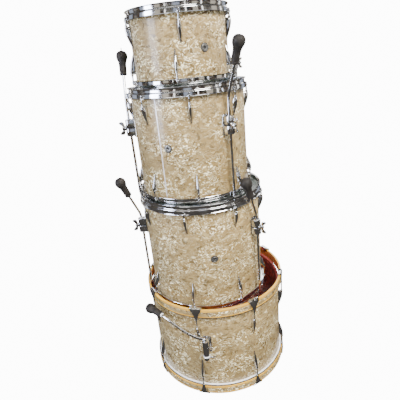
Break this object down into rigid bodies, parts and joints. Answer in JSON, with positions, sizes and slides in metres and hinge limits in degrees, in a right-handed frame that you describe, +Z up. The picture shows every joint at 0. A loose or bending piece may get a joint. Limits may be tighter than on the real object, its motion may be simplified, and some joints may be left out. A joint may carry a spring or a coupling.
{
  "type": "stacked drum kit",
  "caption": "Acoustic drum kit stacked for storage: bass drum on its batter side, nested floor toms with stowed legs, and a rack tom on top.",
  "frame": {"origin": "on the floor, under the middle of the stack's bounding box", "axes": "+Z up along the drums' shared upright axis, -Y towards the front with the vents, +X to the right seen from the front"},
  "size_m": [0.6566, 0.6512, 1.4503],
  "materials": {
    "pearl": "pearl wrap, gloss",
    "chrome": "polished",
    "maple": "clear lacquer",
    "head": "coated film",
    "rubber": "satin"
  },
  "bodies": {
    "bass_drum": {"bass_shell": "pearl", "bass_vent": "chrome", "bass_front_hoop": "maple", "bass_batter_hoop": "maple", "bass_batter_head": "head", "spur_left_bracket": "chrome", "spur_right_bracket": "chrome"},
    "spur_left_arm": {"spur_left_rod": "chrome", "spur_left_foot": "rubber"},
    "spur_left_thumbscrew": {"spur_left_screw": "chrome"},
    "spur_right_arm": {"spur_right_rod": "chrome", "spur_right_foot": "rubber"},
    "spur_right_thumbscrew": {"spur_right_screw": "chrome"},
    "lower_tom_drum": {"lower_tom_shell": "pearl", "lower_tom_vent": "chrome", "lower_tom_top_rim": "chrome", "lower_tom_bottom_rim": "chrome", "lower_tom_top_head": "head", "lower_tom_bottom_head": "head", "lower_tom_left_bracket": "chrome", "lower_tom_right_bracket": "chrome", "lower_tom_rear_bracket": "chrome"},
    "lower_tom_left_leg_rod": {"lower_tom_left_leg": "chrome", "lower_tom_left_foot": "rubber"},
    "lower_tom_left_wing_screw": {"lower_tom_left_screw": "chrome"},
    "lower_tom_right_leg_rod": {"lower_tom_right_leg": "chrome", "lower_tom_right_foot": "rubber"},
    "lower_tom_right_wing_screw": {"lower_tom_right_screw": "chrome"},
    "lower_tom_rear_leg_rod": {"lower_tom_rear_leg": "chrome", "lower_tom_rear_foot": "rubber"},
    "lower_tom_rear_wing_screw": {"lower_tom_rear_screw": "chrome"},
    "upper_tom_drum": {"upper_tom_shell": "pearl", "upper_tom_vent": "chrome", "upper_tom_top_rim": "chrome", "upper_tom_bottom_rim": "chrome", "upper_tom_top_head": "head", "upper_tom_bottom_head": "head", "upper_tom_left_bracket": "chrome", "upper_tom_right_bracket": "chrome", "upper_tom_rear_bracket": "chrome"},
    "upper_tom_left_leg_rod": {"upper_tom_left_leg": "chrome", "upper_tom_left_foot": "rubber"},
    "upper_tom_left_wing_screw": {"upper_tom_left_screw": "chrome"},
    "upper_tom_right_leg_rod": {"upper_tom_right_leg": "chrome", "upper_tom_right_foot": "rubber"},
    "upper_tom_right_wing_screw": {"upper_tom_right_screw": "chrome"},
    "upper_tom_rear_leg_rod": {"upper_tom_rear_leg": "chrome", "upper_tom_rear_foot": "rubber"},
    "upper_tom_rear_wing_screw": {"upper_tom_rear_screw": "chrome"},
    "rack_tom_drum": {"rack_tom_shell": "pearl", "rack_tom_vent": "chrome", "rack_tom_top_rim": "chrome", "rack_tom_bottom_rim": "chrome", "rack_tom_top_head": "head", "rack_tom_bottom_head": "head", "rack_tom_mount": "chrome"},
    "rack_tom_wing_screw": {"rack_tom_mount_screw": "chrome"}
  },
  "joints": [
    {"name": "spur_left_swing", "type": "hinge", "parent": "bass_drum", "child": "spur_left_arm", "pos_m": [-0.04474, -0.30841, 0.303], "axis": [0, 0, 1], "range_deg": [0, 105]},
    {"name": "spur_left_thumbscrew_turn", "type": "hinge", "parent": "bass_drum", "child": "spur_left_thumbscrew", "pos_m": [-0.04474, -0.30841, 0.263], "axis": [0.9839, -0.1788, 0], "range_deg": [-180, 180]},
    {"name": "spur_right_swing", "type": "hinge", "parent": "bass_drum", "child": "spur_right_arm", "pos_m": [0.30567, 0.12432, 0.303], "axis": [0, 0, -1], "range_deg": [0, 105]},
    {"name": "spur_right_thumbscrew_turn", "type": "hinge", "parent": "bass_drum", "child": "spur_right_thumbscrew", "pos_m": [0.30567, 0.12432, 0.263], "axis": [-0.3795, 0.9252, 0], "range_deg": [-180, 180]},
    {"name": "lower_tom_lift", "type": "slide", "parent": "bass_drum", "child": "lower_tom_drum", "axis": [0, 0, 1], "range_m": [0, 0.2]},
    {"name": "lower_tom_left_leg_slide", "type": "slide", "parent": "lower_tom_drum", "child": "lower_tom_left_leg_rod", "axis": [0, 0, 1], "range_m": [0, 0.12]},
    {"name": "lower_tom_left_screw_turn", "type": "hinge", "parent": "lower_tom_drum", "child": "lower_tom_left_wing_screw", "pos_m": [-0.27413, -0.05413, 0.6841], "axis": [-0.9925, -0.1219, 0], "range_deg": [-180, 180]},
    {"name": "lower_tom_right_leg_slide", "type": "slide", "parent": "lower_tom_drum", "child": "lower_tom_right_leg_rod", "axis": [0, 0, 1], "range_m": [0, 0.12]},
    {"name": "lower_tom_right_screw_turn", "type": "hinge", "parent": "lower_tom_drum", "child": "lower_tom_right_wing_screw", "pos_m": [0.19896, -0.17648, 0.6841], "axis": [0.809, -0.5878, 0], "range_deg": [-180, 180]},
    {"name": "lower_tom_rear_leg_slide", "type": "slide", "parent": "lower_tom_drum", "child": "lower_tom_rear_leg_rod", "axis": [0, 0, 1], "range_m": [0, 0.12]},
    {"name": "lower_tom_rear_screw_turn", "type": "hinge", "parent": "lower_tom_drum", "child": "lower_tom_rear_wing_screw", "pos_m": [0.01396, 0.23904, 0.6841], "axis": [0.1045, 0.9945, 0], "range_deg": [-180, 180]},
    {"name": "upper_tom_lift", "type": "slide", "parent": "lower_tom_drum", "child": "upper_tom_drum", "axis": [0, 0, 1], "range_m": [0, 0.2]},
    {"name": "upper_tom_left_leg_slide", "type": "slide", "parent": "upper_tom_drum", "child": "upper_tom_left_leg_rod", "axis": [0, 0, 1], "range_m": [0, 0.12]},
    {"name": "upper_tom_left_screw_turn", "type": "hinge", "parent": "upper_tom_drum", "child": "upper_tom_left_wing_screw", "pos_m": [-0.25958, -0.06631, 1.0757], "axis": [-0.9848, -0.1736, 0], "range_deg": [-180, 180]},
    {"name": "upper_tom_right_leg_slide", "type": "slide", "parent": "upper_tom_drum", "child": "upper_tom_right_leg_rod", "axis": [0, 0, 1], "range_m": [0, 0.12]},
    {"name": "upper_tom_right_screw_turn", "type": "hinge", "parent": "upper_tom_drum", "child": "upper_tom_right_wing_screw", "pos_m": [0.11676, -0.21456, 1.0757], "axis": [0.6018, -0.7986, 0], "range_deg": [-180, 180]},
    {"name": "upper_tom_rear_leg_slide", "type": "slide", "parent": "upper_tom_drum", "child": "upper_tom_rear_leg_rod", "axis": [0, 0, 1], "range_m": [0, 0.12]},
    {"name": "upper_tom_rear_screw_turn", "type": "hinge", "parent": "upper_tom_drum", "child": "upper_tom_rear_wing_screw", "pos_m": [0.06669, 0.19322, 1.0757], "axis": [0.3907, 0.9205, 0], "range_deg": [-180, 180]},
    {"name": "rack_tom_lift", "type": "slide", "parent": "upper_tom_drum", "child": "rack_tom_drum", "axis": [0, 0, 1], "range_m": [0, 0.25]},
    {"name": "rack_tom_screw_turn", "type": "hinge", "parent": "rack_tom_drum", "child": "rack_tom_wing_screw", "pos_m": [0.16988, 0.04035, 1.2583], "axis": [0.9511, 0.309, 0], "range_deg": [-180, 180]}
  ]
}
